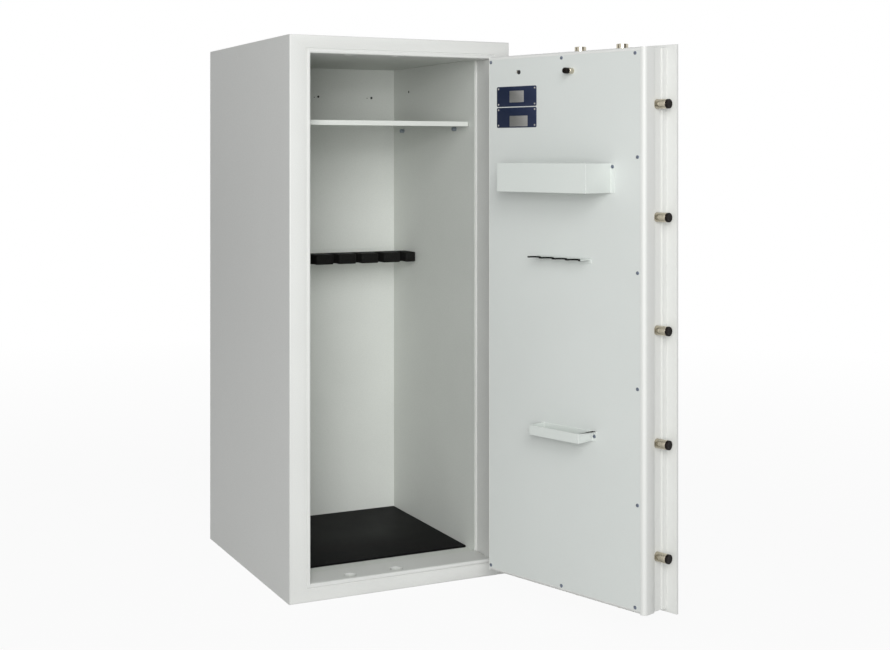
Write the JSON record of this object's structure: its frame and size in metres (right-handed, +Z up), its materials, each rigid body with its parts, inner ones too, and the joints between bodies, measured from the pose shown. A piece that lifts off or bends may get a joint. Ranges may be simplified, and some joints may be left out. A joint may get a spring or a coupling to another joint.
{
  "type": "gun safe",
  "caption": "Tall free-standing steel safe with a thick open hinged door, multi-point round bolts, top shelf, foam barrel comb and door trays.",
  "frame": {"origin": "centre of the cabinet's base on the floor, midway in width and depth", "axes": "+Z up, +Y from the door side to the back, +X towards the hinge side"},
  "size_m": [0.8027, 1.3148, 1.5],
  "materials": {
    "outer_paint": "fine textured light grey powder coat",
    "inner_paint": "light grey powder coat",
    "black_paint": "black powder coat",
    "zinc_steel": "zinc plated",
    "bright_steel": "ground and chromed",
    "bolt_end_black": "blackened hardened end",
    "bronze": "turned",
    "black_foam": "closed-cell foam",
    "fill": "cast",
    "insulation": "pressed fire board",
    "blue_plate": "navy anodised",
    "bare_aluminium": "satin"
  },
  "bodies": {
    "cabinet": {"outer_shell": "outer_paint", "front_frame": "outer_paint", "back_panel": "outer_paint", "barrier_fill": "fill", "frame_fill": "fill", "inner_liner": "inner_paint", "lock_jamb": "outer_paint", "hinge_jamb": "outer_paint", "lintel_plate": "outer_paint", "sill_plate": "outer_paint", "bolt_cups": "inner_paint", "shelf": "outer_paint", "shelf_pins": "bright_steel", "rack_bracket": "inner_paint", "barrel_comb": "black_foam", "rack_screws": "zinc_steel", "floor_mat": "black_foam", "frame_hinges": "outer_paint", "hinge_pins": "bright_steel", "hinge_washers": "bronze"},
    "door": {"door_plate": "outer_paint", "door_barrier": "fill", "lock_side_post": "outer_paint", "hinge_side_post": "outer_paint", "door_top_rail": "outer_paint", "door_bottom_rail": "outer_paint", "boltwork_plate": "zinc_steel", "door_insulation": "insulation", "inner_cover": "inner_paint", "cover_screws": "zinc_steel", "rating_plates": "blue_plate", "plate_windows": "bare_aluminium", "plate_rivets": "bare_aluminium", "document_tray": "outer_paint", "small_tray": "outer_paint", "rod_holder": "outer_paint", "tray_screws": "zinc_steel", "panel_stud": "bright_steel", "side_bolt_bushes": "bronze", "end_bolt_bushes": "bronze", "bar_guides": "zinc_steel", "lock_case": "zinc_steel", "lock_bolt": "bronze", "lock_screws": "zinc_steel", "handle_rose": "black_paint", "key_escutcheon": "black_paint", "key_cover_rivet": "bright_steel", "door_hinges": "outer_paint"},
    "handle": {"handle_lever": "black_paint", "handle_spindle": "bright_steel", "cam_disc": "zinc_steel", "handle_screw": "zinc_steel"},
    "side_bolt_set": {"side_bolt_bar": "zinc_steel", "side_bolts": "bright_steel", "side_bolt_tips": "bolt_end_black"},
    "top_bolt_set": {"top_bolt_bar": "zinc_steel", "top_bolts": "bright_steel"},
    "bottom_bolt_set": {"bottom_bolt_bar": "zinc_steel", "bottom_bolts": "bright_steel"},
    "key_cover": {"keyhole_cover": "bright_steel"}
  },
  "joints": [
    {"name": "door_hinge", "type": "hinge", "parent": "cabinet", "child": "door", "pos_m": [0.306, -0.376, 0], "axis": [0, 0, 1], "range_deg": [-108, 72]},
    {"name": "handle_turn", "type": "hinge", "parent": "door", "child": "handle", "pos_m": [0.39437, -0.73212, 0.89], "axis": [-0.9511, -0.309, 0], "range_deg": [0, 90]},
    {"name": "side_bolt_slide", "type": "slide", "parent": "door", "child": "side_bolt_set", "axis": [-0.309, 0.9511, 0], "range_m": [0, 0.034]},
    {"name": "top_bolt_slide", "type": "slide", "parent": "door", "child": "top_bolt_set", "axis": [0, 0, -1], "range_m": [0, 0.02]},
    {"name": "bottom_bolt_slide", "type": "slide", "parent": "door", "child": "bottom_bolt_set", "axis": [0, 0, 1], "range_m": [0, 0.02]},
    {"name": "key_cover_swing", "type": "hinge", "parent": "door", "child": "key_cover", "pos_m": [0.42497, -0.78422, 1.052], "axis": [-0.9511, -0.309, 0], "range_deg": [0, 110]}
  ],
  "couplings": [
    {"joint": "side_bolt_slide", "follows": "handle_turn", "m_per_rad": 0.021645},
    {"joint": "top_bolt_slide", "follows": "handle_turn", "m_per_rad": 0.012732},
    {"joint": "bottom_bolt_slide", "follows": "handle_turn", "m_per_rad": 0.012732}
  ]
}
